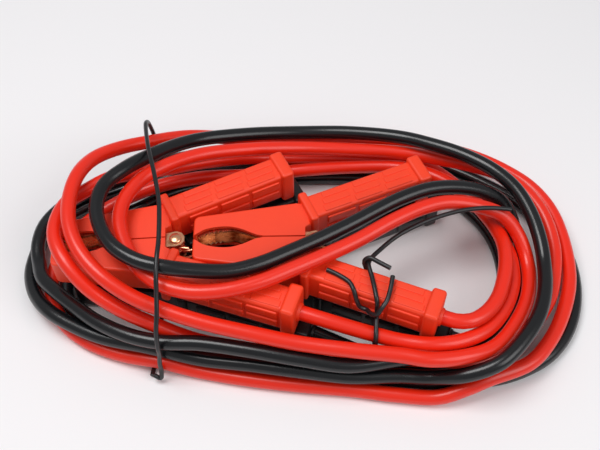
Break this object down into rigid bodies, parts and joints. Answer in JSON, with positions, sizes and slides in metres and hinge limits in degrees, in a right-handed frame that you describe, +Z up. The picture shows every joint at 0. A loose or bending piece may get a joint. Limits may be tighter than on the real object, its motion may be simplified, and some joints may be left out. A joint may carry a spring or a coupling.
{
  "type": "car jumper cable set",
  "caption": "Red and black booster leads with insulated spring clamps, wound and tied into one oval bundle for storage.",
  "frame": {"origin": "on the floor under the middle of the box around the clamps and ties, the leads left out", "axes": "+X to the right along the bundle as pictured, +Y away from the viewer, +Z up"},
  "size_m": [0.3873, 0.2119, 0.0817],
  "materials": {
    "red_grip": "soft red vinyl with a low sheen",
    "black_grip": "soft black vinyl with a low sheen",
    "red_insulation": "smooth red vinyl insulation with a soft gloss",
    "black_insulation": "smooth black vinyl insulation with a soft gloss",
    "copper_plate": "copper-plated steel sheet, bright with faint rubbing",
    "tie_coat": "black plastic coat of a tie wire"
  },
  "bodies": {
    "cable_set": {"red_left_cable_arm_cover": "red_grip", "red_left_cable_arm_jaw": "copper_plate", "red_left_pivot_pin": "copper_plate", "red_left_spring": "copper_plate", "red_right_cable_arm_cover": "red_grip", "red_right_cable_arm_jaw": "copper_plate", "red_right_pivot_pin": "copper_plate", "red_right_spring": "copper_plate", "black_left_cable_arm_cover": "black_grip", "black_left_cable_arm_jaw": "copper_plate", "black_left_pivot_pin": "copper_plate", "black_left_spring": "copper_plate", "black_right_cable_arm_cover": "black_grip", "black_right_cable_arm_jaw": "copper_plate", "black_right_pivot_pin": "copper_plate", "black_right_spring": "copper_plate", "red_cable": "red_insulation", "black_cable": "black_insulation", "coil_tie": "tie_coat", "clamp_tie": "tie_coat", "knot_tie": "tie_coat"},
    "red_left_free_arm": {"red_left_free_arm_cover": "red_grip", "red_left_free_arm_jaw": "copper_plate"},
    "red_right_free_arm": {"red_right_free_arm_cover": "red_grip", "red_right_free_arm_jaw": "copper_plate"},
    "black_left_free_arm": {"black_left_free_arm_cover": "black_grip", "black_left_free_arm_jaw": "copper_plate"},
    "black_right_free_arm": {"black_right_free_arm_cover": "black_grip", "black_right_free_arm_jaw": "copper_plate"}
  },
  "joints": [
    {"name": "red_left_opening", "type": "hinge", "parent": "cable_set", "child": "red_left_free_arm", "pos_m": [-0.07112, -0.01205, 0], "axis": [0, 0, -1], "range_deg": [0, 6], "stiffness_Nm_per_rad": 3, "springref_deg": -17.19},
    {"name": "red_right_opening", "type": "hinge", "parent": "cable_set", "child": "red_right_free_arm", "pos_m": [0.02057, -0.01137, 0], "axis": [0, 0, -1], "range_deg": [0, 2], "stiffness_Nm_per_rad": 3, "springref_deg": -17.19},
    {"name": "black_left_opening", "type": "hinge", "parent": "cable_set", "child": "black_left_free_arm", "pos_m": [-0.06212, -0.01155, 0], "axis": [0, 0, -1], "range_deg": [0, 5], "stiffness_Nm_per_rad": 3, "springref_deg": -17.19},
    {"name": "black_right_opening", "type": "hinge", "parent": "cable_set", "child": "black_right_free_arm", "pos_m": [0.02957, -0.01037, 0], "axis": [0, 0, -1], "range_deg": [0, 1.6], "stiffness_Nm_per_rad": 3, "springref_deg": -17.19}
  ]
}
